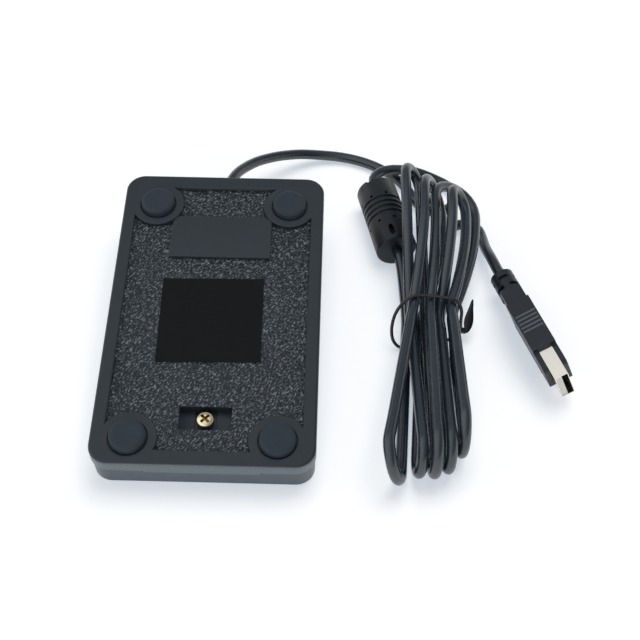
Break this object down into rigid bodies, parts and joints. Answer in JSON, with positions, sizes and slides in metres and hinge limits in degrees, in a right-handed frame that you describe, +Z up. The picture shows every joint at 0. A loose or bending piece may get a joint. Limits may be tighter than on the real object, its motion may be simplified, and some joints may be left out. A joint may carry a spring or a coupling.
{
  "type": "usb foot pedal switch",
  "caption": "Wedge-shaped foot pedal switch with a sprung hinged tread, grained underside, rubber feet, and a tied cable hank with a ferrite bead and a USB-A plug.",
  "frame": {"origin": "Under the middle of the pedal body, on the surface it lies on: the body lies on its tread with its underside up, as it was pictured.", "axes": "+Y along the body from the hinged heel end to the cable end, +X across it towards the cable hank, +Z up out of the underside. The tread lies in z = 0 and the base plane is tilted 6 degrees to it."},
  "size_m": [0.1496, 0.1496, 0.0259],
  "materials": {
    "base_plastic": "satin charcoal moulding, pebble grain in the recess",
    "pedal_plastic": "satin charcoal moulding",
    "foot_rubber": "matte rubber",
    "label_film": "semi-gloss black film, bare",
    "screw_plating": "yellow-passivated pan head",
    "pin_steel": "bright drawn steel",
    "board_laminate": "green lacquer",
    "switch_plastic": "black moulding",
    "terminal_metal": "tinned brass",
    "plunger_plastic": "ivory moulding",
    "can_metal": "drawn can",
    "lead_insulation": "coloured wire insulation",
    "cable_jacket": "black jacket with a soft sheen",
    "bead_plastic": "black satin moulding",
    "bead_ferrite": "grey sintered ferrite",
    "tie_plastic": "black coated wire",
    "grip_plastic": "black satin overmould",
    "shell_nickel": "bright nickel",
    "tongue_plastic": "white moulding",
    "contact_gold": "gold flash"
  },
  "bodies": {
    "base": {"base_tray": "base_plastic", "foot_cable_left": "foot_rubber", "foot_cable_right": "foot_rubber", "foot_heel_left": "foot_rubber", "foot_heel_right": "foot_rubber", "label_sticker": "label_film", "hinge_pin_left": "pin_steel", "hinge_pin_right": "pin_steel", "return_spring": "pin_steel", "circuit_board": "board_laminate", "board_screws": "pin_steel", "switch_body": "switch_plastic", "switch_terminals": "terminal_metal", "controller_chip": "switch_plastic", "crystal_can": "can_metal", "filter_capacitor": "switch_plastic", "wire_header": "plunger_plastic", "inner_leads": "lead_insulation", "cable_relief": "cable_jacket", "cable_lead": "cable_jacket", "bead_cover": "bead_plastic", "bead_core": "bead_ferrite", "cable_hank": "cable_jacket", "hank_tie": "tie_plastic", "cable_tail": "cable_jacket", "plug_grip": "grip_plastic", "plug_shell": "shell_nickel", "plug_tongue": "tongue_plastic", "plug_contacts": "contact_gold"},
    "pedal": {"pedal_cover": "pedal_plastic", "retaining_screw": "screw_plating"},
    "lever": {"switch_lever": "pin_steel"},
    "plunger": {"switch_plunger": "plunger_plastic"}
  },
  "joints": [
    {"name": "pedal_hinge", "type": "hinge", "parent": "base", "child": "pedal", "pos_m": [0, -0.046, 0.00607], "axis": [1, 0, 0], "range_deg": [0, 3], "stiffness_Nm_per_rad": 7.6, "springref_deg": -2.29, "deforming": ["return_spring"]},
    {"name": "lever_hinge", "type": "hinge", "parent": "base", "child": "lever", "pos_m": [-0.006, 0.00525, 0.00538], "axis": [1, 0, 0], "range_deg": [0, 16.5]},
    {"name": "plunger_slide", "type": "slide", "parent": "base", "child": "plunger", "axis": [0, -0.1045, 0.9945], "range_m": [0, 0.00065]}
  ],
  "couplings": [
    {"joint": "lever_hinge", "follows": "pedal_hinge", "ratio": 5.49},
    {"joint": "plunger_slide", "follows": "pedal_hinge", "m_per_rad": 0.0124}
  ]
}
